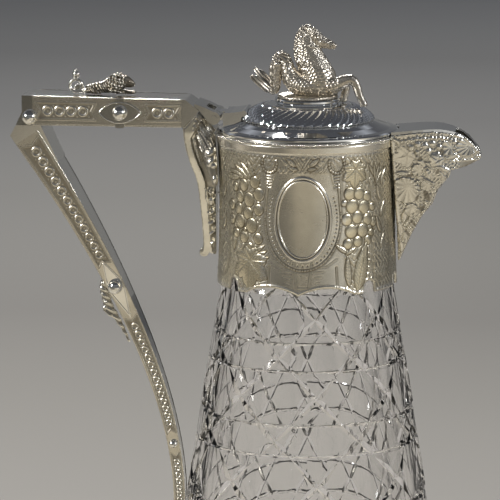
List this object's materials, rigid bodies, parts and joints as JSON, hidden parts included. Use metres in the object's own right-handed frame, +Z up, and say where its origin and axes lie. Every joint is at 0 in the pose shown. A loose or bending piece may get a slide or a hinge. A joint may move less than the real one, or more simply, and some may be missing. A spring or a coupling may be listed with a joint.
{
  "type": "claret jug",
  "caption": "Tapering cut crystal claret jug with a decorated silver collar, open spout, angular strap handle and a hinged domed lid under a sea horse finial",
  "frame": {"origin": "centre of the flat underside of the crystal base, on the axis of the body", "axes": "+Z up along the body, +X towards the lip of the spout, the handle on -X, +Y across the jug"},
  "size_m": [0.1832, 0.1178, 0.2849],
  "materials": {
    "crystal": "clear lead crystal, polished mitre and lens cuts",
    "plaster": "matt white plaster bedding",
    "collar_silver": "polished silver, chased and repoussed",
    "spout_silver": "polished silver, cast relief",
    "handle_silver": "polished silver",
    "handle_trim": "polished silver castings and die-rolled strip",
    "lid_silver": "mirror-polished silver",
    "figure_silver": "cast and chased silver",
    "steel": "plain silver stud, washer and nut"
  },
  "bodies": {
    "jug": {"glass_body": "crystal", "neck_plaster": "plaster", "collar": "collar_silver", "rim_beading": "collar_silver", "cartouche_frame": "collar_silver", "spout_body": "spout_silver", "spout_cover": "spout_silver", "collar_bracket": "handle_silver", "hinge_base": "handle_silver", "hinge_pin": "lid_silver", "handle_bar": "handle_silver", "bar_panels": "handle_trim", "bar_clasp": "handle_trim", "bar_lion": "handle_trim", "handle_arm": "handle_silver", "arm_panels": "handle_trim", "arm_clasp": "handle_trim", "arm_ornament": "handle_trim", "ball_bosses": "handle_trim", "handle_socket": "handle_silver", "socket_plaster": "plaster"},
    "lid": {"lid_shell": "lid_silver", "lid_bezel": "lid_silver", "gadroon_ring": "lid_silver", "lid_hinge": "lid_silver", "finial_plinth": "lid_silver", "finial_horse": "figure_silver", "finial_stud": "steel", "finial_washer": "steel", "finial_nut": "steel"}
  },
  "joints": [
    {"name": "lid_hinge", "type": "hinge", "parent": "jug", "child": "lid", "pos_m": [-0.0356, 0, 0.2487], "axis": [0, -1, 0], "range_deg": [0, 85]}
  ]
}
